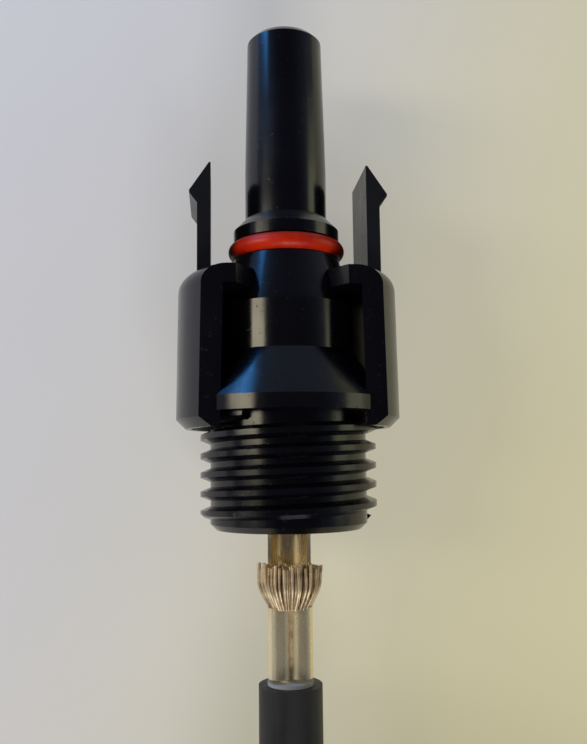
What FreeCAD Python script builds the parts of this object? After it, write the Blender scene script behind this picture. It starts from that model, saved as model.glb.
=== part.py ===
"""Solar cable connector half with two latch arms, its crimped contact and its lead.

The connector lies along Y with its tip towards +Y; Z is up. The origin is on the
axis at the root of the probe. All sizes are in millimetres.
"""
import FreeCAD, Part
import math
import os
import Sketcher

doc = FreeCAD.newDocument("solarConnector")
sheet = doc.addObject("Spreadsheet::Sheet", "sizes")

# Driving dimensions, in millimetres and degrees.
DRIVING = {
    # Probe and shoulder
    "originY": 0.0, "probeLength": 17.0, "tipWall": 0.58, "rootWall": 0.84,
    "probeLand": 4.5, "tipChamfer": 0.45,
    "shoulderLength": 1.1, "landLength": 1.0,
    # O-ring and its groove
    "ringCord": 1.6, "ringSqueeze": 0.05, "grooveWidth": 1.65, "grooveWall": 0.72,
    "grooveDepth": 1.03,
    # Cones, band and flange
    "upperConeLength": 4.3, "upperConeRadius": 5.75, "bandRadius": 5.9, "bandLength": 4.05,
    "lowerConeLength": 4.0, "flangeRadius": 8.6, "flangeThickness": 1.2,
    # Gland thread
    "threadLength": 9.85, "threadCore": 6.75, "threadDepth": 0.85, "threadPitch": 1.6,
    "threadLead": 0.5, "ridgeLift": 0.02, "ridgeBase": 0.72, "crestStart": 0.22, "crestEnd": 0.5,
    "leadReach": 0.2,
    # Bores, from the tip to the back
    "noseBore": 2.3, "noseLength": 4.0, "socketClearance": 0.2, "recessStep": 0.2,
    "recessFront": 1.0, "recessLength": 2.5, "throatClearance": 0.35, "cavityClearance": 0.8,
    "throatEnd": 10.0, "sealClearance": 0.15, "sealDepth": 9.35,
    # Ears
    "earFront": 5.3, "earLength": 13.3, "earRadius": 9.55, "earFlare": 0.15, "earWall": 1.3,
    "earHalfAngle": 52.0, "earHalfHeight": 5.95, "earCorner": 1.6, "earBevel": 0.8,
    "bridgeThickness": 1.6, "bridgeCover": 0.6,
    "webThickness": 1.5, "webOverlap": 0.4,
    # Latch arms
    "armInset": 2.83, "armThickness": 1.15, "armWidth": 7.0, "armReach": 4.1, "barbHeight": 0.68,
    "barbStart": 1.6, "barbFlat": 0.2, "barbBack": 0.9, "tipFlat": 0.15, "footDepth": 0.42,
    "hingeGap": 0.06, "mouthGap": 0.12,
    # Contact, from its open end to its crimp
    "contactFront": 10.0, "tubeRadius": 2.6, "tubeLength": 17.0, "pinBore": 2.05, "pinDepth": 13.5,
    "neckRadius": 1.85, "neckWall": 0.32, "neckLength": 6.7, "crimpLength": 5.8, "crimpWidth": 3.8,
    "crimpDrop": 1.25, "lobeRadius": 0.97, "lobeRise": 0.35,
    "bandWall": 0.15, "louvreLength": 8.0, "louvreOffset": 2.0,
    "clipWall": 0.15, "clipOffset": 7.5, "clipLength": 3.5, "tineLength": 2.9, "tineSpread": 0.35,
    "tineAngle": 70.0,
    # Conductor and cable
    "strandRadius": 0.16, "coreRadius": 1.05, "coreGrip": 1.0, "coreLift": 0.01,
    "brushLength": 3.2, "brushSpread": 2.35, "brushAxisRise": 0.2,
    "insulationRadius": 1.95, "jacketRadius": 2.7, "stripGap": 0.3, "jacketStep": 0.3,
    "jacketLength": 33.9,
    # Gland parts waiting on the cable
    "cableFit": 0.06, "sealRadius": 4.85, "sealLength": 5.5, "sealPlace": 47.5,
    "cageRadius": 6.2, "cageRing": 2.2, "fingerLength": 5.0, "fingerWall": 0.8,
    "fingerInside": 4.95, "fingerAngle": 30.0, "glandGap": 1.4, "nutRadius": 8.35, "nutLength": 12.0,
    "nutBevel": 1.5, "nutEndWall": 2.0, "nutClearance": 0.4, "nutThreadClearance": 0.1,
    "gripHeight": 0.25, "gripWidth": 2.2,
    # Coil and its ties
    "coilRadius": 27.0, "coilTurns": 4.0, "turnGap": 0.05, "tieThickness": 0.5, "tieAngle": 6.0,
    "farStrip": 5.0, "farStrands": 6.0,
}

# Stations along the axis and radii that follow from the driving dimensions.
DERIVED = {
    "socketBore": "tubeRadius + socketClearance",
    "throatBore": "tubeRadius + throatClearance",
    "cavityBore": "tubeRadius + cavityClearance",
    "recessBore": "throatBore + recessStep",
    "sealBore": "sealRadius + sealClearance",
    "probeTipRadius": "socketBore + tipWall",
    "probeRootRadius": "socketBore + rootWall",
    "grooveRadius": "throatBore + grooveWall",
    "shoulderRadius": "grooveRadius + grooveDepth",
    "shoulderEnd": "-shoulderLength",
    "grooveFront": "shoulderEnd - landLength",
    "grooveBack": "grooveFront - grooveWidth",
    "bandFront": "grooveBack - upperConeLength",
    "bandBack": "bandFront - bandLength",
    "flangeFront": "bandBack - lowerConeLength",
    "flangeBack": "flangeFront - flangeThickness",
    "bodyEnd": "flangeBack - threadLength",
    "probeShoulder": "probeLength - tipChamfer",
    "tipRimRadius": "probeTipRadius - tipChamfer",
    "noseBack": "probeLength - noseLength",
    "recessBack": "recessFront - recessLength",
    "throatBack": "-throatEnd",
    "sealSeat": "bodyEnd + sealDepth",
    "threadLeadRadius": "threadCore - threadLead",
    "threadLeadStart": "bodyEnd + threadLead",
    "ringRadius": "grooveRadius + ringCord / 2 - ringSqueeze",
    "ringPlace": "(grooveFront + grooveBack) / 2",
    "earTop": "-earFront",
    "earBack": "earTop - earLength",
    "earBackRadius": "earRadius + earFlare",
    "earBevelY": "earBack + earBevel",
    "earBevelX": "earBackRadius - earBevel",
    "earInside": "earRadius - earWall",
    "earBackInside": "earBackRadius - earWall",
    "bridgeBack": "earTop - bridgeThickness",
    "bridgeInside": "cavityBore + bridgeCover",
    "armInside": "earRadius - armInset",
    "armOutside": "armInside + armThickness",
    "armMiddle": "armInside + armThickness / 2",
    "footRadius": "armThickness / 2",
    "footPlace": "earTop - footDepth",
    "armTipOuter": "armInside + tipFlat",
    "barbOut": "armOutside + barbHeight",
    "barbFlatEnd": "barbStart - barbFlat",
    "barbEnd": "barbFlatEnd - barbBack",
    "contactTop": "-contactFront",
    "tubeEnd": "contactTop - tubeLength",
    "crimpFront": "tubeEnd - neckLength",
    "crimpBack": "crimpFront - crimpLength",
    "insulationTop": "crimpBack - stripGap",
    "jacketTop": "insulationTop - jacketStep",
    "jacketEnd": "jacketTop - jacketLength",
    "threadInside": "(threadCore + sealBore) / 2",
    "threadCrest": "threadCore + threadDepth",
    "leadOutside": "threadCrest + leadReach",
    "leadFront": "bodyEnd + leadOutside - threadLeadRadius",
    "ridgeBack": "bodyEnd + ridgeLift",
    "ridgeFront": "ridgeBack + threadPitch * ridgeBase",
    "crestBack": "ridgeBack + threadPitch * crestStart",
    "crestFront": "ridgeBack + threadPitch * crestEnd",
    "ridgeHeight": "threadLength - threadPitch * crestEnd",
    "coreDrop": "lobeRise - lobeRadius / 2",
    "coreOverlap": "coreGrip + coreLift * 2",
    "brushRise": "brushAxisRise",
    "sealTop": "-sealPlace",
    "cageTop": "sealTop - sealLength - glandGap",
    "nutTop": "cageTop - fingerLength - cageRing - glandGap",
    "nutBack": "nutTop - nutLength",
    "nutInside": "threadCore + nutThreadClearance",
    "nutWall": "nutRadius - nutInside",
    "nutHole": "jacketRadius + nutClearance",
    "nutBevelX": "nutRadius - nutBevel",
    "nutBevelY": "nutBack + nutBevel",
    "nutWallY": "nutBack + nutEndWall",
    "floorZ": "-flangeRadius",
    "coilBase": "floorZ + tieThickness",
    "layerZ": "coilBase + jacketRadius",
    "coilTop": "layerZ + coilTurns * (2 * jacketRadius + turnGap) - insulationRadius",
    "coilHeight": "coilTop - coilBase",
}

row = 1
for alias, value in DRIVING.items():
    sheet.set(f"A{row}", alias)
    sheet.set(f"B{row}", str(value))
    sheet.setAlias(f"B{row}", alias)
    row += 1
for alias, formula in DERIVED.items():
    sheet.set(f"A{row}", alias)
    sheet.set(f"B{row}", "=" + formula)
    sheet.setAlias(f"B{row}", alias)
    row += 1
doc.recompute()

ALONG_Y = FreeCAD.Rotation(FreeCAD.Vector(1, 0, 0), -90)
HALF_TURN = FreeCAD.Rotation(FreeCAD.Vector(0, 1, 0), 180)


def dim(alias):
    """The value of a cell as a plain number; a leading minus sign mirrors it."""
    if alias.startswith("-"):
        return -dim(alias[1:])
    return float(sheet.get(alias))


def cell(alias):
    """The expression that binds a property to a cell."""
    if alias.startswith("-"):
        return f"-sizes.{alias[1:]}"
    return f"sizes.{alias}"


def plane(body, role):
    """An origin plane or axis of a body, found by its role."""
    for feature in body.Origin.OriginFeatures:
        if feature.Role == role:
            return feature
    raise LookupError(role)


def new_body(label):
    body = doc.addObject("PartDesign::Body", label)
    body.Label = label
    return body


def outline(body, name, corners, role="XY_Plane"):
    """A closed sketch through the corners, each corner held by the two cells it names."""
    sketch = body.newObject("Sketcher::SketchObject", name)
    sketch.AttachmentSupport = [(plane(body, role), "")]
    sketch.MapMode = "FlatFace"
    spots = [FreeCAD.Vector(dim(across), dim(along), 0) for across, along in corners]
    for index, spot in enumerate(spots):
        sketch.addGeometry(Part.LineSegment(spot, spots[(index + 1) % len(spots)]))
    for index in range(len(spots)):
        after = (index + 1) % len(spots)
        sketch.addConstraint(Sketcher.Constraint("Coincident", index, 2, after, 1))
    for index, corner in enumerate(corners):
        for direction, alias in zip(("DistanceX", "DistanceY"), corner):
            number = sketch.addConstraint(
                Sketcher.Constraint(direction, -1, 1, index, 1, dim(alias)))
            sketch.setExpression(f"Constraints[{number}]", cell(alias))
    return sketch


def revolve(body, sketch, angle=None):
    """Turn a sketch about the connector's axis; a part turn is centred on the sketch."""
    turn = body.newObject("PartDesign::Revolution", sketch.Name + "Turn")
    turn.Profile = sketch
    turn.ReferenceAxis = (sketch, ["V_Axis"])
    if angle:
        turn.setExpression("Angle", angle)
        turn.Midplane = True
    return turn


def revolved_body(label, corners, angle=None):
    body = new_body(label)
    revolve(body, outline(body, label + "Outline", corners), angle)
    return body


def cylinder(name, radius, front, length, rise="0", shift="0", bore=None, start=0, sweep=None):
    """A cylinder along Y from its back end; front, rise and shift are expressions."""
    solid = doc.addObject("Part::Cylinder", name)
    solid.setExpression("Radius", radius)
    solid.setExpression("Height", length)
    if sweep:
        solid.setExpression("Angle", sweep)
    turn = FreeCAD.Rotation(FreeCAD.Vector(0, 1, 0), start)
    solid.Placement = FreeCAD.Placement(FreeCAD.Vector(), turn.multiply(ALONG_Y))
    solid.setExpression("Placement.Base.x", shift)
    solid.setExpression("Placement.Base.y", f"({front}) - ({length})")
    solid.setExpression("Placement.Base.z", rise)
    if bore is None:
        return solid
    hole = cylinder(name + "Bore", bore, front, length, rise, shift)
    return cut(name + "Tube", solid, hole)


def box(name, x, y, z, width, depth, height):
    """A box centred on x and z, with y its lowest corner; all six are expressions."""
    solid = doc.addObject("Part::Box", name)
    solid.setExpression("Length", width)
    solid.setExpression("Width", depth)
    solid.setExpression("Height", height)
    solid.setExpression("Placement.Base.x", f"({x}) - ({width}) / 2")
    solid.setExpression("Placement.Base.y", y)
    solid.setExpression("Placement.Base.z", f"({z}) - ({height}) / 2")
    return solid


def cut(name, base, tool):
    result = doc.addObject("Part::Cut", name)
    result.Base = base
    result.Tool = tool
    return result


def fuse(name, pieces):
    result = doc.addObject("Part::MultiFuse", name)
    result.Shapes = pieces
    return result


def common(name, pieces):
    result = doc.addObject("Part::MultiCommon", name)
    result.Shapes = pieces
    return result


nodes = {}


def keep(label, piece):
    piece.Label = label
    nodes[label] = piece
    return piece


# ---------------------------------------------------------------- housing
def housing_core():
    """The turned form of the housing: probe, groove, cones, flange, thread core and bores."""
    corners = [
        ("noseBore", "probeLength"), ("tipRimRadius", "probeLength"),
        ("probeTipRadius", "probeShoulder"), ("probeRootRadius", "probeLand"),
        ("probeRootRadius", "originY"),
        ("shoulderRadius", "shoulderEnd"), ("shoulderRadius", "grooveFront"),
        ("grooveRadius", "grooveFront"), ("grooveRadius", "grooveBack"),
        ("shoulderRadius", "grooveBack"), ("upperConeRadius", "bandFront"),
        ("bandRadius", "bandFront"), ("bandRadius", "bandBack"),
        ("flangeRadius", "flangeFront"), ("flangeRadius", "flangeBack"),
        ("threadCore", "flangeBack"), ("threadCore", "threadLeadStart"),
        ("threadLeadRadius", "bodyEnd"), ("sealBore", "bodyEnd"), ("sealBore", "sealSeat"),
        ("cavityBore", "sealSeat"), ("cavityBore", "throatBack"),
        ("throatBore", "throatBack"), ("throatBore", "recessBack"),
        ("recessBore", "recessBack"), ("recessBore", "recessFront"),
        ("socketBore", "recessFront"), ("socketBore", "noseBack"), ("noseBore", "noseBack"),
    ]
    return revolved_body("housingCore", corners)


def thread_ridge(core):
    """A right-hand ridge along the threaded sleeve, cut back by a cone where the nut starts."""
    ridge = [
        ("threadInside", "ridgeBack"), ("threadCore", "ridgeBack"),
        ("threadCrest", "crestBack"), ("threadCrest", "crestFront"),
        ("threadCore", "ridgeFront"), ("threadInside", "ridgeFront"),
    ]
    sketch = outline(core, "ridgeOutline", ridge)
    helix = core.newObject("PartDesign::AdditiveHelix", "threadRidge")
    helix.Profile = sketch
    helix.ReferenceAxis = (sketch, ["V_Axis"])
    helix.Mode = 0
    helix.setExpression("Pitch", cell("threadPitch"))
    helix.setExpression("Height", cell("ridgeHeight"))
    helix.LeftHanded = False
    doc.recompute()
    whole = helix.Shape.Volume
    lead = core.newObject("PartDesign::Groove", "threadLeadIn")
    lead.Profile = outline(core, "leadOutline", [
        ("threadLeadRadius", "bodyEnd"), ("leadOutside", "bodyEnd"), ("leadOutside", "leadFront")])
    lead.ReferenceAxis = (lead.Profile[0], ["V_Axis"])
    lead.Angle = 360
    doc.recompute()
    if lead.Shape.Volume >= whole:
        raise ValueError("the lead-in cuts nothing from the thread")
    return lead


def ear(side, sign):
    """One ear, cut flat above and below: its curved wall and the bridge that carries the arm."""
    corners = [
        ("bridgeInside", "earTop"), ("earRadius", "earTop"), ("earBackRadius", "earBevelY"),
        ("earBevelX", "earBack"), ("earBackInside", "earBack"), ("earInside", "bridgeBack"),
        ("bridgeInside", "bridgeBack"),
    ]
    body = new_body(f"ear{side}")
    turn = revolve(body, outline(body, f"ear{side}Outline", corners), "2 * sizes.earHalfAngle")
    doc.recompute()
    corner = FreeCAD.Vector(dim("earRadius"), dim("earTop"), 0)
    round_edge(body, turn, corner, cell("earCorner"))
    if side == "Left":
        body.Placement = FreeCAD.Placement(FreeCAD.Vector(), HALF_TURN)
    slab = box(f"ear{side}Slab", f"{sign} * {cell('earBackRadius')}", cell("earBack") + " - 1", "0",
               f"2 * {cell('earBackRadius')}", f"{cell('earLength')} + 2",
               f"2 * {cell('earHalfHeight')}")
    return common(f"ear{side}Trimmed", [body, slab])


def round_edge(body, feature, near, radius):
    """Round the one edge of a feature that passes closest to a point."""
    spot = Part.Vertex(near)
    edges = feature.Shape.Edges
    gaps = [edge.distToShape(spot)[0] for edge in edges]
    number = gaps.index(min(gaps)) + 1
    rounding = body.newObject("PartDesign::Fillet", feature.Name + "Corner")
    rounding.Base = (feature, [f"Edge{number}"])
    rounding.setExpression("Radius", radius)
    body.Tip = rounding
    return rounding


def latch_seat(side, sign):
    """The rounded seat in a bridge where a latch arm's foot turns."""
    depth = f"({cell('armWidth')}) + 2 * ({cell('hingeGap')})"
    seat = doc.addObject("Part::Cylinder", f"seat{side}")
    seat.setExpression("Radius", f"{cell('footRadius')} + {cell('hingeGap')}")
    seat.setExpression("Height", depth)
    seat.setExpression("Placement.Base.x", f"{sign} * {cell('armMiddle')}")
    seat.setExpression("Placement.Base.y", cell("footPlace"))
    seat.setExpression("Placement.Base.z", f"-({depth}) / 2")
    mouth = box(f"mouth{side}", f"{sign} * {cell('armMiddle')}", cell("footPlace"), "0",
                f"{cell('armThickness')} + 2 * {cell('mouthGap')}", "2 * " + cell("footDepth"), depth)
    return [seat, mouth]


def housing():
    core = housing_core()
    thread_ridge(core)
    pieces = [core]
    seats = []
    for side, sign in (("Right", 1), ("Left", -1)):
        pieces.append(ear(side, sign))
        web = box(f"web{side}", f"{sign} * ({cell('bridgeInside')} + {cell('earInside')}) / 2",
                  cell("flangeFront"), "0",
                  f"{cell('earInside')} - {cell('bridgeInside')} + {cell('webOverlap')}",
                  f"{cell('earTop')} - ({cell('flangeFront')})", cell("webThickness"))
        pieces.append(web)
        seats.extend(latch_seat(side, sign))
    whole = fuse("housingWhole", pieces)
    return keep("housing_body", cut("housingSeated", whole, fuse("latchSeats", seats)))


def o_ring():
    ring = doc.addObject("Part::Torus", "sealRing")
    ring.setExpression("Radius1", cell("ringRadius"))
    ring.setExpression("Radius2", f"{cell('ringCord')} / 2 - {cell('ringSqueeze')}")
    ring.Placement = FreeCAD.Placement(FreeCAD.Vector(), ALONG_Y)
    ring.setExpression("Placement.Base.y", cell("ringPlace"))
    return keep("o_ring", ring)


# ---------------------------------------------------------------- latch arms
def latch_arm(side, sign):
    """A flat arm with a barb that faces outwards and a rounded foot."""
    corners = [
        ("armInside", "footPlace"), ("armOutside", "footPlace"), ("armOutside", "barbEnd"),
        ("barbOut", "barbFlatEnd"), ("barbOut", "barbStart"), ("armTipOuter", "armReach"),
        ("armInside", "armReach"),
    ]
    body = new_body(f"arm{side}")
    blade = body.newObject("PartDesign::Pad", f"arm{side}Blade")
    blade.Profile = outline(body, f"arm{side}Outline", corners)
    blade.setExpression("Length", cell("armWidth"))
    blade.Midplane = True
    foot = doc.addObject("Part::Cylinder", f"foot{side}")
    foot.setExpression("Radius", cell("footRadius"))
    foot.setExpression("Height", cell("armWidth"))
    foot.setExpression("Placement.Base.x", f"{sign} * {cell('armMiddle')}")
    foot.setExpression("Placement.Base.y", cell("footPlace"))
    foot.setExpression("Placement.Base.z", f"-{cell('armWidth')} / 2")
    if side == "Left":
        body.Placement = FreeCAD.Placement(FreeCAD.Vector(), HALF_TURN)
    return keep(f"latch_arm_{side.lower()}", fuse(f"arm{side}Whole", [body, foot]))


# ---------------------------------------------------------------- contact
def contact_socket():
    """The socket tube, the open neck behind it and the two-lobed crimp barrel."""
    tube = cylinder("contactTube", cell("tubeRadius"), cell("contactTop"), cell("tubeLength"))
    pin_hole = cylinder("pinHole", cell("pinBore"), cell("contactTop"), cell("pinDepth"))
    tube = cut("contactBored", tube, pin_hole)
    neck = cylinder("neckRound", cell("neckRadius"), cell("tubeEnd"), cell("neckLength"),
                    bore=f"{cell('neckRadius')} - {cell('neckWall')}")
    trough = box("neckLower", "0", cell("crimpFront"), f"-{cell('neckRadius')} / 2",
                 f"2 * {cell('neckRadius')}", cell("neckLength"), cell("neckRadius"))
    neck = common("neckTrough", [neck, trough])
    lobe_shift = f"({cell('crimpWidth')} / 2 - {cell('lobeRadius')})"
    lobes = []
    for side, sign in (("Right", 1), ("Left", -1)):
        lobes.append(cylinder(f"lobe{side}", cell("lobeRadius"), cell("crimpFront"),
                              cell("crimpLength"), cell("lobeRise"), f"{sign} * {lobe_shift}"))
    belly = cylinder("crimpBelly", f"{cell('crimpWidth')} / 2", cell("crimpFront"),
                     cell("crimpLength"), cell("lobeRise"))
    keel = box("crimpKeel", "0", cell("crimpBack"), f"{cell('lobeRise')} - {cell('crimpDrop')} * 0.75",
               cell("crimpWidth"), cell("crimpLength"), f"{cell('crimpDrop')} * 1.5")
    belly = common("crimpFloor", [belly, keel])
    barrel = fuse("crimpBarrel", lobes + [belly])
    core_hole = cylinder("coreHole", cell("coreRadius"), f"{cell('crimpFront')} + {cell('coreLift')}",
                         f"{cell('crimpLength')} + 2 * {cell('coreLift')}", cell("coreDrop"))
    barrel = cut("crimpBored", barrel, core_hole)
    return keep("contact_socket", fuse("contactWhole", [tube, neck, barrel]))


def louvre_band():
    return keep("louvre_band", cylinder(
        "springBand", cell("pinBore"), f"{cell('contactTop')} - {cell('louvreOffset')}",
        cell("louvreLength"), bore=f"{cell('pinBore')} - {cell('bandWall')}"))


def retention_clip():
    """A sprung sleeve round the socket tube with three tines that flare backwards."""
    front = f"{cell('contactTop')} - {cell('clipOffset')}"
    outer = f"{cell('tubeRadius')} + {cell('clipWall')}"
    sleeve = cylinder("clipSleeve", outer, front, cell("clipLength"), bore=cell("tubeRadius"))
    pieces = [sleeve]
    back = f"{front} - {cell('clipLength')} - {cell('tineLength')}"
    for index in range(3):
        shells = []
        for name, inset in (("Outer", "0"), ("Inner", cell("clipWall"))):
            shell = doc.addObject("Part::Cone", f"tine{name}{index}")
            shell.setExpression("Radius1", f"{outer} + {cell('tineSpread')} - {inset}")
            shell.setExpression("Radius2", f"{outer} - {inset}")
            shell.setExpression("Height", cell("tineLength"))
            shell.setExpression("Angle", cell("tineAngle"))
            turn = FreeCAD.Rotation(FreeCAD.Vector(0, 1, 0), 120 * index)
            shell.Placement = FreeCAD.Placement(FreeCAD.Vector(), turn.multiply(ALONG_Y))
            shell.setExpression("Placement.Base.y", back)
            shells.append(shell)
        pieces.append(cut(f"tine{index}", shells[0], shells[1]))
    return keep("retention_clip", fuse("clipWhole", pieces))


# ---------------------------------------------------------------- conductor and cable
def strand_core():
    """The bundle of strands from inside the crimp to inside the insulation."""
    return keep("strand_core", cylinder(
        "coreBundle", cell("coreRadius"), cell("crimpFront"),
        f"{cell('crimpFront')} - ({cell('insulationTop')}) + {cell('coreGrip')}", cell("coreDrop")))


def strand_brush():
    """The free ends of the strands, which fan out in front of the crimp above the neck."""
    strands = []
    layers = ((13, 1.0, 8.0), (9, 0.62, 14.0), (4, 0.25, 30.0))
    for count, share, edge in layers:
        for index in range(count):
            angle = math.radians(edge + (180.0 - 2 * edge) * index / (count - 1))
            across = math.cos(angle)
            rise = math.sin(angle)
            root = dim("coreRadius") * 0.85 * share
            tip = dim("brushSpread") * share
            wobble = 0.25 * math.sin(5.0 * index + 9.0 * share)
            start = FreeCAD.Vector(root * across, dim("crimpFront"), root * rise + dim("brushRise"))
            middle = FreeCAD.Vector((root + (tip - root) * 0.75) * across,
                                    dim("crimpFront") + dim("brushLength") * 0.5,
                                    (root + (tip - root) * 0.62) * rise + dim("brushRise"))
            end = FreeCAD.Vector(tip * across, dim("crimpFront") + dim("brushLength") + wobble,
                                 tip * 0.85 * rise + dim("brushRise"))
            strands.append(tube_along([start, middle, end], dim("strandRadius")))
    piece = doc.addObject("Part::Feature", "strandFan")
    piece.Shape = Part.makeCompound(strands)
    return keep("strand_brush", piece)


def rounded_path(points):
    """Straight runs joined by tangent arcs, with the arcs' radii."""
    edges = []
    radii = []
    last = points[0]
    for before, corner, after in zip(points, points[1:], points[2:]):
        into = corner - before
        away = after - corner
        half_turn = into.getAngle(away) / 2
        reach = 0.45 * min(into.Length, away.Length)
        radii.append(reach / math.tan(half_turn))
        into.normalize()
        away.normalize()
        start = corner - into * reach
        end = corner + away * reach
        inward = (away - into).normalize()
        depth = radii[-1] / math.cos(half_turn) - radii[-1]
        edges.append(Part.LineSegment(last, start).toShape())
        edges.append(Part.Arc(start, corner + inward * depth, end).toShape())
        last = end
    edges.append(Part.LineSegment(last, points[-1]).toShape())
    return Part.Wire(edges), radii


def tube_along(points, radius):
    path, radii = rounded_path(points)
    heading = points[1] - points[0]
    ring = Part.Wire(Part.makeCircle(radius, points[0], heading))
    solid = path.makePipeShell([ring], True, False)
    return solid


def cable_tube(label, points):
    """A cable run as one solid, with its radii and volume printed."""
    path, radii = rounded_path(points)
    solid = tube_along(points, dim("jacketRadius"))
    expected = math.pi * dim("jacketRadius") ** 2 * path.Length
    print(label, "length", round(path.Length, 1), "radii", [round(radius) for radius in radii],
          "volume ratio", round(solid.Volume / expected, 4))
    piece = doc.addObject("Part::Feature", label + "Tube")
    piece.Shape = solid
    return keep(label, piece)


def cable_start():
    """The straight cable behind the crimp: inner insulation inside an outer jacket."""
    inner = cylinder("innerSleeve", cell("insulationRadius"), cell("insulationTop"),
                     f"{cell('insulationTop')} - ({cell('jacketEnd')})")
    core = cylinder("innerCore", cell("coreRadius"), f"{cell('insulationTop')} + {cell('coreLift')}",
                    cell("coreOverlap"), cell("coreDrop"))
    keep("inner_insulation", cut("innerBored", inner, core))
    keep("cable_jacket", cylinder("jacketSleeve", cell("jacketRadius"), cell("jacketTop"),
                                  cell("jacketLength"), bore=cell("insulationRadius")))


def coil_centre():
    return FreeCAD.Vector(COIL_LEFT_X + dim("coilRadius"), COIL_MIDDLE_Y, 0)


def coil_ring(widen, sweep=360.0, start=0.0):
    """An upright ring about the coil's middle, widened all round by one thickness."""
    centre = coil_centre()
    base = FreeCAD.Vector(centre.x, centre.y, dim("coilBase") - widen)
    height = dim("coilHeight") + 2 * widen
    up = FreeCAD.Vector(0, 0, 1)
    outer = Part.makeCylinder(dim("coilRadius") + dim("jacketRadius") + widen, height, base, up, sweep)
    inner = Part.makeCylinder(dim("coilRadius") - dim("jacketRadius") - widen, height, base, up, sweep)
    ring = outer.cut(inner)
    ring.rotate(centre, up, start)
    return ring


def cable_coil():
    """The outer shape of the stacked turns, with rounded rims."""
    ring = doc.addObject("Part::Feature", "coilRing")
    shape = coil_ring(0.0)
    rims = [edge for edge in shape.Edges if edge.isClosed() and edge.Vertexes[0].Z > dim("coilBase")]
    ring.Shape = shape.makeFillet(dim("jacketRadius") * 0.6, rims)
    keep("cable_coil", ring)


def coil_tie(label, start):
    """A flat band wrapped round the stack of turns at one place."""
    tie = doc.addObject("Part::Feature", label + "Band")
    tie.Shape = coil_ring(dim("tieThickness"), dim("tieAngle"), start).cut(coil_ring(0.0))
    keep(label, tie)


# Route of the cable from the straight jacket down to the surface, chosen by hand.
COIL_LEFT_X = -4.0
COIL_MIDDLE_Y = -104.0


def route_points():
    return [
        FreeCAD.Vector(0, dim("jacketEnd"), 0), FreeCAD.Vector(0, -84.5, 0),
        FreeCAD.Vector(-2.6, -94.8, -3.2), FreeCAD.Vector(COIL_LEFT_X, COIL_MIDDLE_Y, dim("layerZ")),
    ]


def far_end_pieces():
    """The bare far end lies on the topmost turn: stripped insulation, then the strands."""
    heading = FreeCAD.Vector(0, -1, 0)
    start = FreeCAD.Vector(COIL_LEFT_X, COIL_MIDDLE_Y, dim("coilTop") + dim("insulationRadius"))
    sleeve = doc.addObject("Part::Feature", "farSleeve")
    sleeve.Shape = Part.makeCylinder(dim("insulationRadius"), dim("farStrip"), start, heading)
    keep("far_insulation", sleeve)
    bundle = doc.addObject("Part::Feature", "farBundle")
    bundle.Shape = Part.makeCylinder(dim("coreRadius"), dim("farStrands"),
                                     start + heading * dim("farStrip"), heading)
    keep("far_strands", bundle)


# ---------------------------------------------------------------- gland parts on the cable
def gland_parts():
    bore = f"{cell('jacketRadius')} + {cell('cableFit')}"
    keep("gland_seal", cylinder("sealSleeve", cell("sealRadius"), cell("sealTop"), cell("sealLength"),
                                bore=bore))
    fingers = []
    finger_top = cell("cageTop")
    for index in range(8):
        outer = cylinder(f"fingerOut{index}", f"{cell('fingerInside')} + {cell('fingerWall')}",
                         finger_top, cell("fingerLength"), start=45 * index, sweep=cell("fingerAngle"))
        inner = cylinder(f"fingerIn{index}", cell("fingerInside"), finger_top, cell("fingerLength"))
        fingers.append(cut(f"finger{index}", outer, inner))
    ring = cylinder("cageHoop", cell("cageRadius"), f"{cell('cageTop')} - {cell('fingerLength')}",
                    cell("cageRing"), bore=bore)
    keep("clamp_cage", fuse("cageWhole", fingers + [ring]))
    nut = new_body("nutBody")
    corners = [
        ("nutInside", "nutTop"), ("nutRadius", "nutTop"), ("nutRadius", "nutBevelY"),
        ("nutBevelX", "nutBack"), ("nutHole", "nutBack"), ("nutHole", "nutWallY"),
        ("nutInside", "nutWallY"),
    ]
    revolve(nut, outline(nut, "nutOutline", corners))
    grips = []
    for index in range(16):
        angle = 22.5 * index
        grip = doc.addObject("Part::Box", f"grip{index}")
        grip.setExpression("Length", cell("gripWidth"))
        grip.setExpression("Width", f"{cell('nutLength')} * 0.7")
        grip.setExpression("Height", f"{cell('nutWall')} / 2 + {cell('gripHeight')}")
        turn = FreeCAD.Rotation(FreeCAD.Vector(0, 1, 0), angle)
        spot = turn.multVec(FreeCAD.Vector(-dim("gripWidth") / 2, 0, dim("nutRadius") - dim("nutWall") / 2))
        grip.Placement = FreeCAD.Placement(spot, turn)
        grip.setExpression("Placement.Base.y", f"{cell('nutTop')} - {cell('nutLength')} * 0.75")
        grips.append(grip)
    keep("gland_nut", fuse("nutWhole", [nut] + grips))


housing()
o_ring()
latch_arm("Left", -1)
latch_arm("Right", 1)
contact_socket()
louvre_band()
retention_clip()
strand_core()
strand_brush()
cable_start()
gland_parts()
cable_tube("cable_run", route_points())
cable_coil()
coil_tie("coil_tie_near", 70.0)
coil_tie("coil_tie_far", 340.0)
far_end_pieces()
doc.recompute()

# ---------------------------------------------------------------- checks and export
for item in doc.Objects:
    if any(state in ("Invalid", "Error") for state in item.State):
        raise RuntimeError(f"{item.Name} failed: {item.State}")
for label, piece in nodes.items():
    if piece.Shape.isNull() or not piece.Shape.isValid():
        raise RuntimeError(f"{label} has no valid shape")

os.makedirs("parts", exist_ok=True)
for label, piece in nodes.items():
    piece.Shape.exportStep(f"parts/{label}.step")
    size = piece.Shape.BoundBox
    print(f"{label:18s} {len(piece.Shape.Solids):3d} solids {piece.Shape.Volume:10.2f} mm3",
          f"x {size.XMin:.1f}..{size.XMax:.1f} y {size.YMin:.1f}..{size.YMax:.1f}",
          f"z {size.ZMin:.1f}..{size.ZMax:.1f}")
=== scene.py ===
import bpy
import bmesh
import math
import random
from mathutils import Matrix, Vector


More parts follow.
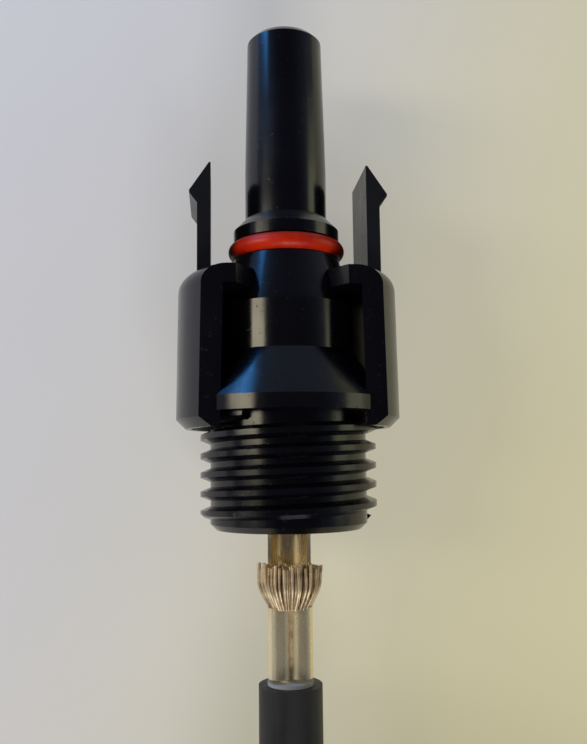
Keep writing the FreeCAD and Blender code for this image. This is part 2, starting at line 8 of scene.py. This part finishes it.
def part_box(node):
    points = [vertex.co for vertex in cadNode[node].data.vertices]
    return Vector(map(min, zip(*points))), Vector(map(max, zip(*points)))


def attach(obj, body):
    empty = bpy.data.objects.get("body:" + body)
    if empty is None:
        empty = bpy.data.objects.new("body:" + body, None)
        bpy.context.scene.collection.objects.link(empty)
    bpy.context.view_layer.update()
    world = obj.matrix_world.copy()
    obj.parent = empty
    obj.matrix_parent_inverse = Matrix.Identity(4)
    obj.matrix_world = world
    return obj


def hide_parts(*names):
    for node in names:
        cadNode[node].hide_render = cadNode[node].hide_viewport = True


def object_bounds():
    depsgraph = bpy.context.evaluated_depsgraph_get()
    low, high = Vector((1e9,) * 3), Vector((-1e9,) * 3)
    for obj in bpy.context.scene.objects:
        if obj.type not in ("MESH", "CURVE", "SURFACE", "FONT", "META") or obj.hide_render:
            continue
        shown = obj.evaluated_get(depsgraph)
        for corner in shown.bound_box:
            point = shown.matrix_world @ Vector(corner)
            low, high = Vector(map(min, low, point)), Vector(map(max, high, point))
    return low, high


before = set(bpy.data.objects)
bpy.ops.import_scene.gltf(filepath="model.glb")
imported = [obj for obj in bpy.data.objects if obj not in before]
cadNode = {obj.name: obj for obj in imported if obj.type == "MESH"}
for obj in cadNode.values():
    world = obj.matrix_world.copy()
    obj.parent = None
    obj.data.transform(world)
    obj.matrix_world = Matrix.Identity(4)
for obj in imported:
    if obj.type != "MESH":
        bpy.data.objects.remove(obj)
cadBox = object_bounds()
random.seed(7)
mm = 0.001

# where the view stands, in the object's own frame
viewpoint = {
    "aim": Vector((0.54, -13.6, 0.0)) * mm,
    "distance": 70.6 * mm,
    "lens": 38.7,
    "sensor": 36.0,
    "near": 0.005,
    "far": 5.0,
    "pitch": math.radians(6.5),
    "yaw": math.radians(5.5),
    "roll": math.radians(-0.65),
}


def makeCamera(view):
    camData = bpy.data.cameras.new("viewCamera")
    camData.sensor_width = view["sensor"]
    camData.lens = view["lens"]
    camData.clip_start = view["near"]
    camData.clip_end = view["far"]
    cam = bpy.data.objects.new("viewCamera", camData)
    bpy.context.scene.collection.objects.link(cam)
    pitch, yaw = view["pitch"], view["yaw"]
    back = Vector((-math.sin(yaw) * math.cos(pitch), -math.sin(pitch), math.cos(yaw) * math.cos(pitch)))
    right = Vector((0, 1, 0)).cross(back).normalized()
    up = back.cross(right)
    turned = right * math.cos(view["roll"]) + up * math.sin(view["roll"])
    axes = Matrix((turned, back.cross(turned), back)).transposed()
    cam.matrix_world = Matrix.Translation(view["aim"] + back * view["distance"]) @ axes.to_4x4()
    bpy.context.scene.camera = cam


makeCamera(viewpoint)
print("camera placed")

# the lead: straight out of the jacket, down to the surface and into a tied coil, in mm
lead = {
    "diameter": 5.4 * mm,
    "exit": (0.0, -74.0, 0.0),
    "route": [(0.0, -84.5, 0.0), (-2.6, -94.8, -3.2)],
    "coilCentre": (23.0, -104.0),
    "coilRadius": 27.0,
    "coilStart": -5.4,
    "turns": 4,
    "pointsPerTurn": 16,
    "rise": 5.45,
    "smoothness": 6,
}


def coilPoints(coil):
    step = 2 * math.pi / coil["pointsPerTurn"]
    reach = coil["coilRadius"] * 2 / (1 + math.cos(step))  # the spline cuts inside its points
    points = []
    for index in range(1, coil["turns"] * coil["pointsPerTurn"] + 1):
        angle = math.pi + step * index
        share = index / coil["pointsPerTurn"]
        points.append((coil["coilCentre"][0] + reach * math.cos(angle),
                       coil["coilCentre"][1] + reach * math.sin(angle),
                       coil["coilStart"] + coil["rise"] * share))
    last = coil["turns"] * coil["rise"] + coil["coilStart"]
    points[-1] = (coil["coilCentre"][0] - coil["coilRadius"], coil["coilCentre"][1], last)
    return points


def splineLength(curveObject):
    flat = bpy.data.meshes.new_from_object(curveObject)
    total = 0.0
    for edge in flat.edges:
        first, second = (flat.vertices[end].co for end in edge.vertices)
        total += (first - second).length
    bpy.data.meshes.remove(flat)
    return total


def makeLead(spec):
    curve = bpy.data.curves.new("leadCable", "CURVE")
    curve.dimensions = "3D"
    spline = curve.splines.new("NURBS")
    start = (spec["coilCentre"][0] - spec["coilRadius"], spec["coilCentre"][1], spec["coilStart"])
    points = [spec["exit"], *spec["route"], start, *coilPoints(spec)]
    spline.points.add(len(points) - 1)
    for point, place in zip(spline.points, points):
        point.co = (*(Vector(place) * mm), 1.0)
        point.radius = spec["diameter"] / 2  # the points carry the thickness, so the box stays true
    spline.order_u = 3
    spline.use_endpoint_u = True
    curve.resolution_u = spec["smoothness"]
    cable = bpy.data.objects.new("leadCable", curve)
    bpy.context.scene.collection.objects.link(cable)
    length = splineLength(cable)
    curve.bevel_depth = 1.0
    curve.bevel_resolution = spec["smoothness"]
    curve.use_fill_caps = True
    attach(cable, "contact")
    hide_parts("cable_run", "cable_coil")
    print("lead length in mm", round(length / mm, 1))
    return cable, length


leadCable, leadLength = makeLead(lead)


class Sock:
    # wraps one output so that values can be written as sums
    def __init__(self, net, out):
        self.net = net
        self.out = out

    def maths(self, operation, first, second):
        return self.net.node("ShaderNodeMath", {"operation": operation}, {0: first, 1: second})

    def __add__(self, other):
        return self.maths("ADD", self, other)

    def __radd__(self, other):
        return self.maths("ADD", other, self)

    def __sub__(self, other):
        return self.maths("SUBTRACT", self, other)

    def __rsub__(self, other):
        return self.maths("SUBTRACT", other, self)

    def __mul__(self, other):
        return self.maths("MULTIPLY", self, other)

    def __rmul__(self, other):
        return self.maths("MULTIPLY", other, self)

    def beside(self, name):
        # another output of the same node
        return Sock(self.net, self.out.node.outputs[name])


class Net:
    # the nodes of a material or of the world
    def __init__(self, tree):
        self.tree = tree

    def node(self, kind, settings, values, output=0):
        made = self.tree.nodes.new(kind)
        for key, value in settings.items():
            if key == "stops":
                for stop, (position, colour) in zip(made.color_ramp.elements, value):
                    stop.position = position
                    stop.color = (*colour, 1)
            else:
                setattr(made, key, value)
        for key, value in values.items():
            if isinstance(value, Sock):
                self.tree.links.new(value.out, made.inputs[key])
            else:
                made.inputs[key].default_value = value
        return Sock(self, made.outputs[output])

    def span(self, value, low, high, toLow=0.0, toHigh=1.0, soft=False):
        # low..high becomes toLow..toHigh, and what lies outside stays at the ends
        settings = {"interpolation_type": "SMOOTHSTEP"} if soft else {}
        return self.node("ShaderNodeMapRange", settings, {"Value": value, "From Min": low, "From Max": high,
                                                          "To Min": toLow, "To Max": toHigh})

    def blend(self, share, first, second):
        colours = {6: (*first, 1) if isinstance(first, tuple) else first, 7: (*second, 1)}
        return self.node("ShaderNodeMix", {"data_type": "RGBA"}, {0: share, **colours}, 2)


class Finish(Net):
    # one material, and what feeds its shader
    def __init__(self, name, roughness=0.5, metallic=0.0, ior=1.5):
        self.mat = bpy.data.materials.new(name)
        self.mat.use_nodes = True
        super().__init__(self.mat.node_tree)
        self.shader = self.tree.nodes["Principled BSDF"]
        self.shader.inputs["Roughness"].default_value = roughness
        self.shader.inputs["Metallic"].default_value = metallic
        self.shader.inputs["IOR"].default_value = ior
        self.place = self.node("ShaderNodeTexCoord", {}, {}, "Object")

    def noise(self, scale, detail=3.0, rough=0.5, stretch=None):
        where = self.place
        if stretch:
            where = self.node("ShaderNodeMapping", {}, {"Vector": self.place, "Scale": stretch})
        return self.node("ShaderNodeTexNoise", {}, {"Vector": where, "Scale": scale, "Detail": detail,
                                                    "Roughness": rough})

    def feed(self, socket, value):
        self.tree.links.new(value.out, self.shader.inputs[socket])

    def bump(self, height, strength, distance):
        self.feed("Normal", self.node("ShaderNodeBump", {}, {"Height": height, "Strength": strength,
                                                             "Distance": distance}))


# moulded black plastic: near-mirror gloss with handling haze, faint flow marks and specks of dust
glossBlack = {
    "tint": (0.0020, 0.0020, 0.0034),
    "lift": (2.2, 2.2, 2.0),  # how many times lighter the clouds are
    "haze": 0.0,
    "smoothest": 0.13,
    "roughest": 0.27,
    "dust": (0.06, 0.058, 0.055),
    "dustCover": 0.12,
    "dustHaze": 0.15,
    "relief": 0.06 * mm,
}
satinBlack = {**glossBlack, "tint": (0.009, 0.009, 0.011), "haze": 0.12}


def mouldedBlack(name, spec):
    net = Finish(name, roughness=0.2)
    cloud = net.noise(160.0, detail=4.0, rough=0.55)
    streak = net.noise(900.0, rough=0.6, stretch=(1.0, 0.08, 1.0))
    dust = net.span(net.noise(2600.0, detail=2.0), 0.66, 0.74)
    clouded = tuple(value * times for value, times in zip(spec["tint"], spec["lift"]))
    shade = net.blend(cloud, spec["tint"], clouded)
    net.feed("Base Color", net.blend(dust * spec["dustCover"], shade, spec["dust"]))
    handled = net.span(cloud * 0.6 + streak * 0.4, 0.35, 0.65, spec["smoothest"] + spec["haze"],
                       spec["roughest"] + spec["haze"])
    net.feed("Roughness", handled + dust * spec["dustHaze"])
    net.bump(streak * 0.4 + cloud * 0.6, 0.25, spec["relief"])
    return net.mat


# ring rubber: deep orange-red, with a slightly dusty skin
ringLook = {
    "deep": (0.62, 0.014, 0.001),
    "bright": (0.86, 0.040, 0.002),
    "smoothest": 0.3,
    "roughest": 0.5,
    "relief": 0.03 * mm,
}


def ringRubber(spec):
    net = Finish("ringRubber", roughness=0.38, ior=1.38)
    cloud = net.noise(700.0, detail=4.0, rough=0.6)
    fine = net.noise(3800.0, rough=0.6)
    net.feed("Base Color", net.blend(net.span(cloud, 0.3, 0.75), spec["deep"], spec["bright"]))
    net.feed("Roughness", net.span(fine, 0.3, 0.7, spec["smoothest"], spec["roughest"]))
    net.bump(fine, 0.2, spec["relief"])
    return net.mat


# stamped metal with drawn lines and darker rubbed spots
platedLook = {
    "bright": (1.0, 0.86, 0.55),
    "dark": (0.90, 0.72, 0.42),
    "smoothest": 0.20,
    "roughest": 0.36,
    "metallic": 0.72,
    "relief": 0.04 * mm,
}
brassLook = {**platedLook, "bright": (0.80, 0.58, 0.28), "dark": (0.45, 0.30, 0.13), "smoothest": 0.18,
             "metallic": 1.0}
steelLook = {**platedLook, "bright": (0.62, 0.61, 0.59), "dark": (0.38, 0.37, 0.36), "roughest": 0.38,
             "metallic": 1.0}


def stampedMetal(name, spec):
    net = Finish(name, roughness=spec["smoothest"], metallic=spec["metallic"])
    drawn = net.noise(1400.0, detail=4.0, rough=0.65, stretch=(1.0, 0.06, 1.0))
    spot = net.noise(420.0, detail=4.0, rough=0.6)
    stain = net.span(spot, 0.5, 0.72, 0.0, 0.8)
    net.feed("Base Color", net.blend(stain, spec["bright"], spec["dark"]))
    net.feed("Roughness", net.span(drawn * 0.7 + spot * 0.3, 0.3, 0.7, spec["smoothest"], spec["roughest"]))
    net.bump(drawn, 0.3, spec["relief"])
    return net.mat


# drawn copper wire, dulled in places
copperLook = {
    "bright": (0.98, 0.82, 0.56),
    "dull": (0.46, 0.33, 0.20),
    "smoothest": 0.42,
    "roughest": 0.62,
}


def copperWire(spec):
    net = Finish("copperWire", roughness=0.3, metallic=1.0)
    spot = net.noise(900.0, rough=0.6)
    net.feed("Base Color", net.blend(net.span(spot, 0.35, 0.7), spec["bright"], spec["dull"]))
    net.feed("Roughness", net.span(spot, 0.3, 0.7, spec["smoothest"], spec["roughest"]))
    return net.mat


# cable skin: matt black with a faint grain, which may be drawn out along the cable
skinLook = {
    "dark": (0.010, 0.010, 0.011),
    "worn": (0.026, 0.025, 0.024),
    "smoothest": 0.4,
    "roughest": 0.6,
    "relief": 0.08 * mm,
}


def cableSkin(name, spec, stretch):
    net = Finish(name, ior=1.46)
    grain = net.noise(2200.0, rough=0.6, stretch=stretch)
    cloud = net.noise(260.0, detail=4.0, rough=0.6)
    net.feed("Base Color", net.blend(cloud, spec["dark"], spec["worn"]))
    mixed = grain * 0.5 + cloud * 0.5
    net.feed("Roughness", net.span(mixed, 0.35, 0.65, spec["smoothest"], spec["roughest"]))
    net.bump(grain, 0.35, spec["relief"])
    return net.mat


# soft polymers with a fine grain
paleLook = {"light": (0.62, 0.60, 0.57), "dark": (0.46, 0.45, 0.43), "smoothest": 0.42, "roughest": 0.58}
sealLook = {"light": (0.035, 0.034, 0.034), "dark": (0.018, 0.018, 0.018), "smoothest": 0.5, "roughest": 0.7}
tieLook = {"light": (0.022, 0.022, 0.023), "dark": (0.012, 0.012, 0.012), "smoothest": 0.35, "roughest": 0.5}


def softPolymer(name, spec):
    net = Finish(name, roughness=spec["smoothest"], ior=1.46)
    cloud = net.noise(480.0, detail=4.0, rough=0.6)
    fine = net.noise(3200.0, rough=0.6)
    net.feed("Base Color", net.blend(net.span(cloud, 0.3, 0.7), spec["dark"], spec["light"]))
    net.feed("Roughness", net.span(fine, 0.3, 0.7, spec["smoothest"], spec["roughest"]))
    net.bump(fine, 0.3, 0.04 * mm)
    return net.mat


def dress(piece, material):
    piece.data.materials.clear()
    piece.data.materials.append(material)


housingBlack = mouldedBlack("housingBlack", glossBlack)
armBlack = mouldedBlack("armBlack", satinBlack)
plated = stampedMetal("platedContact", platedLook)
springBrass = stampedMetal("springBrass", brassLook)
springSteel = stampedMetal("springSteel", steelLook)
copper = copperWire(copperLook)
skinAlong = cableSkin("jacketSkin", skinLook, (1.0, 0.05, 1.0))
skinCoil = cableSkin("coilSkin", skinLook, (1.0, 1.0, 1.0))
paleInsulation = softPolymer("paleInsulation", paleLook)
sealBlack = softPolymer("sealBlack", sealLook)
tieBlack = softPolymer("tieBlack", tieLook)

finishes = {
    "housing_body": housingBlack,
    "latch_arm_left": armBlack,
    "latch_arm_right": armBlack,
    "gland_nut": housingBlack,
    "clamp_cage": armBlack,
    "o_ring": ringRubber(ringLook),
    "contact_socket": plated,
    "louvre_band": springBrass,
    "retention_clip": springSteel,
    "strand_core": copper,
    "strand_brush": copper,
    "far_strands": copper,
    "inner_insulation": paleInsulation,
    "far_insulation": paleInsulation,
    "cable_jacket": skinAlong,
    "gland_seal": sealBlack,
    "coil_tie_near": tieBlack,
    "coil_tie_far": tieBlack,
}
for node, finish in finishes.items():
    dress(cadNode[node], finish)
dress(leadCable, skinCoil)
print("finishes given to", len(finishes), "parts")

# the fanned strand ends in front of the crimp, in mm and degrees
fan = {
    "count": 84,
    "wire": 0.14,
    "root": 1.72,
    "spread": 2.78,
    "reach": 3.75,
    "shortest": 0.9,
    "longest": 1.03,
    "rise": 0.12,
    "bend": 0.22,
    "sway": 0.6,
    "flatten": 0.9,
    "fromAngle": 6,
    "sweep": 168,
    "scatter": 0.618,  # steps round the fan, so that neighbours land apart
    "steps": 4,
    "opening": 2.2,
    "openEarly": 0.86,
    "openLate": 0.14,
}


def makeFan(spec):
    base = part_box("strand_brush")[0].y
    curve = bpy.data.curves.new("strandFan", "CURVE")
    curve.dimensions = "3D"
    for index in range(spec["count"]):
        ring = math.sqrt((index + 0.5) / spec["count"])
        angle = math.radians(spec["fromAngle"] + spec["sweep"] * ((index * spec["scatter"]) % 1.0))
        twist = random.uniform(-spec["bend"], spec["bend"])
        across, rise = math.cos(angle), math.sin(angle)
        reach = spec["reach"] * random.uniform(spec["shortest"], spec["longest"])
        spline = curve.splines.new("NURBS")
        spline.points.add(spec["steps"])
        for step, point in enumerate(spline.points):
            share = step / spec["steps"]
            swell = min(1.0, share * spec["opening"]) * spec["openEarly"] + share * spec["openLate"]
            radius = spec["root"] * ring + (spec["spread"] - spec["root"]) * ring * swell
            sway = twist * math.sin(share * math.pi)
            point.co = ((across * radius + sway * spec["sway"]) * mm, base + reach * share * mm,
                        (rise * radius * spec["flatten"] + spec["rise"]) * mm, 1.0)
            point.radius = spec["wire"] * mm
        spline.order_u = 3
        spline.use_endpoint_u = True
    curve.resolution_u = 3
    curve.bevel_depth = 1.0
    curve.bevel_resolution = 2
    curve.use_fill_caps = True
    piece = bpy.data.objects.new("strandFan", curve)
    bpy.context.scene.collection.objects.link(piece)
    dress(piece, copper)
    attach(piece, "contact")
    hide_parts("strand_brush")


makeFan(fan)
print("strands fanned")

# pale paper with painted warm light: its colour and glow turn from cool to warm across the view, standing in
# for the yellow lamp's light on the right, and it shows at its own colour to the viewer
room = {
    "floor": cadBox[0].z,
    "size": 3.0,
    "roughness": 0.9,
    "cool": (0.54, 0.535, 0.53),
    "warmLitPaper": (0.58, 0.55, 0.42),
    "glowCool": (0.300, 0.288, 0.290),
    "glowWarmLit": (0.335, 0.308, 0.180),
    "warmLightFrom": -24.0,
    "warmLightTo": 42.0,
    "slant": 0.35,
}


def makeFloor(spec):
    bm = bmesh.new()
    bmesh.ops.create_grid(bm, x_segments=1, y_segments=1, size=spec["size"])
    bmesh.ops.translate(bm, verts=bm.verts, vec=(0, 0, spec["floor"]))
    mesh = bpy.data.meshes.new("paperFloor")
    bm.to_mesh(mesh)
    bm.free()
    floor = bpy.data.objects.new("paperFloor", mesh)
    bpy.context.scene.collection.objects.link(floor)
    net = Finish("paper", roughness=spec["roughness"])
    across = net.node("ShaderNodeSeparateXYZ", {}, {0: net.place}, "X")
    slanted = across - across.beside("Y") * spec["slant"]
    # painted warm light: this share warms the paper's colour and glow towards the right of the view, where
    # the yellow lamp's light falls
    warmLightShare = net.span(slanted, spec["warmLightFrom"] * mm, spec["warmLightTo"] * mm, soft=True)
    net.feed("Base Color", net.blend(warmLightShare, spec["cool"], spec["warmLitPaper"]))
    paper = Sock(net, net.shader.outputs[0])
    glowColour = net.blend(warmLightShare, spec["glowCool"], spec["glowWarmLit"])
    glow = net.node("ShaderNodeEmission", {}, {"Color": glowColour})
    lit = net.node("ShaderNodeAddShader", {}, {0: paper, 1: glow})
    seen = net.node("ShaderNodeLightPath", {}, {}, "Is Camera Ray")
    seenOrMirrored = seen.maths("MAXIMUM", seen, seen.beside("Is Glossy Ray"))
    final = net.node("ShaderNodeMixShader", {}, {0: seenOrMirrored, 1: paper, 2: lit})
    net.tree.links.new(final.out, net.tree.nodes["Material Output"].inputs[0])
    dress(floor, net.mat)


# places and sizes in mm, power in watts
lamps = {
    "windowWarm": {
        "place": (-340, 50, 212),
        "aim": (0, -12, 0),
        "size": (105, 210),
        "power": 0.52,
        "colour": (1.0, 0.90, 0.66),
    },
    "windowBlue": {
        "place": (-85, 95, 25),
        "aim": (0, -10, 0),
        "size": (45, 70),
        "power": 0.068,
        "colour": (0.05, 0.36, 1.0),
    },
    "lampYellow": {
        "place": (385, 70, 96),
        "aim": (0, -12, 0),
        "size": (220, 180),
        "power": 0.16,
        "colour": (1.0, 0.98, 0.56),
    },
    "softFill": {
        "place": (40, -420, 330),
        "aim": (0, -12, 0),
        "size": (300, 200),
        "power": 0.95,
        "colour": (1.0, 0.98, 0.95),
    },
}


def addLamp(name, spec):
    lampData = bpy.data.lights.new(name, "AREA")
    lampData.shape = "RECTANGLE"
    lampData.size = spec["size"][0] * mm
    lampData.size_y = spec["size"][1] * mm
    lampData.energy = spec["power"]
    lampData.color = spec["colour"]
    lamp = bpy.data.objects.new(name, lampData)
    lamp.location = Vector(spec["place"]) * mm
    lamp.rotation_mode = "QUATERNION"
    lamp.rotation_quaternion = (lamp.location - Vector(spec["aim"]) * mm).to_track_quat("Z", "Y")
    bpy.context.scene.collection.objects.link(lamp)


# a room that is bright at the sides and dim overhead
roomLight = {
    "bright": (0.17, 0.20, 0.27),
    "brightUpTo": 0.3,
    "dim": (0.030, 0.030, 0.048),
    "dimFrom": 0.85,
}


def makeRoomLight(spec):
    world = bpy.data.worlds.new("room")
    world.use_nodes = True
    net = Net(world.node_tree)
    direction = net.node("ShaderNodeTexCoord", {}, {}, "Generated")
    height = net.node("ShaderNodeSeparateXYZ", {}, {0: direction}, "Z")
    stops = [(spec["brightUpTo"], spec["bright"]), (spec["dimFrom"], spec["dim"])]
    colour = net.node("ShaderNodeValToRGB", {"stops": stops}, {0: height})
    net.tree.links.new(colour.out, net.tree.nodes["Background"].inputs["Color"])
    bpy.context.scene.world = world


makeFloor(room)
for name, lampSpec in lamps.items():
    addLamp(name, lampSpec)
makeRoomLight(roomLight)
bpy.context.scene.view_settings.view_transform = "Standard"
print("floor and lamps set")
